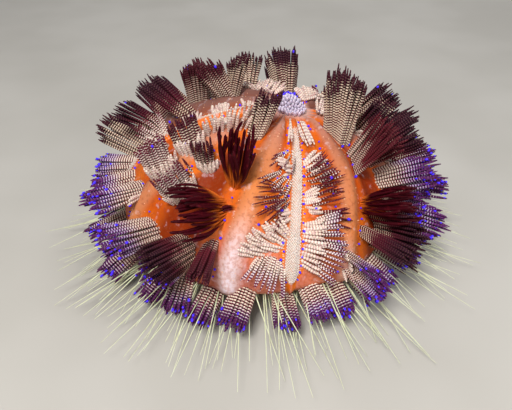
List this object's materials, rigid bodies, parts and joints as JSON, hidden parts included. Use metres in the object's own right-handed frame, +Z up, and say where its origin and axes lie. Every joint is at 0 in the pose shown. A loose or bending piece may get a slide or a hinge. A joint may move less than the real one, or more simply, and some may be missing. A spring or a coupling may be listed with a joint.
{
  "type": "fire urchin",
  "caption": "Still, life-size fire urchin, a leather sea urchin: a soft dome with bare orange bands and tufts of banded spines, standing on short hoofed spines.",
  "frame": {"origin": "middle of the part's box, on the floor that its hoofed spines stand on", "axes": "+Z up from the floor to the apex, +Y towards the back, away from the strip of white skin that faces the viewer"},
  "size_m": [0.2444, 0.2468, 0.1074],
  "materials": {
    "ambulacrum_skin": "moist soft skin, with banded spines",
    "interambulacrum_skin": "moist soft skin, with banded and dark spines",
    "band_skin": "smooth moist bare skin",
    "oral_skin": "moist skin of the underside, with pale spines",
    "disc_skin": "pale moist skin with small white spines",
    "mouth_skin": "folded moist skin round the teeth"
  },
  "bodies": {
    "root": {"ambulacrum_1": "ambulacrum_skin", "ambulacrum_2": "ambulacrum_skin", "ambulacrum_3": "ambulacrum_skin", "ambulacrum_4": "ambulacrum_skin", "ambulacrum_5": "ambulacrum_skin", "apical_disc": "disc_skin", "bare_band_1": "band_skin", "bare_band_10": "band_skin", "bare_band_2": "band_skin", "bare_band_3": "band_skin", "bare_band_4": "band_skin", "bare_band_5": "band_skin", "bare_band_6": "band_skin", "bare_band_7": "band_skin", "bare_band_8": "band_skin", "bare_band_9": "band_skin", "interambulacrum_1": "interambulacrum_skin", "interambulacrum_2": "interambulacrum_skin", "interambulacrum_3": "interambulacrum_skin", "interambulacrum_4": "interambulacrum_skin", "interambulacrum_5": "interambulacrum_skin", "mouth": "mouth_skin", "oral_ambulacrum_1": "oral_skin", "oral_ambulacrum_2": "oral_skin", "oral_ambulacrum_3": "oral_skin", "oral_ambulacrum_4": "oral_skin", "oral_ambulacrum_5": "oral_skin", "oral_interambulacrum_1": "oral_skin", "oral_interambulacrum_2": "oral_skin", "oral_interambulacrum_3": "oral_skin", "oral_interambulacrum_4": "oral_skin", "oral_interambulacrum_5": "oral_skin"}
  },
  "joints": []
}
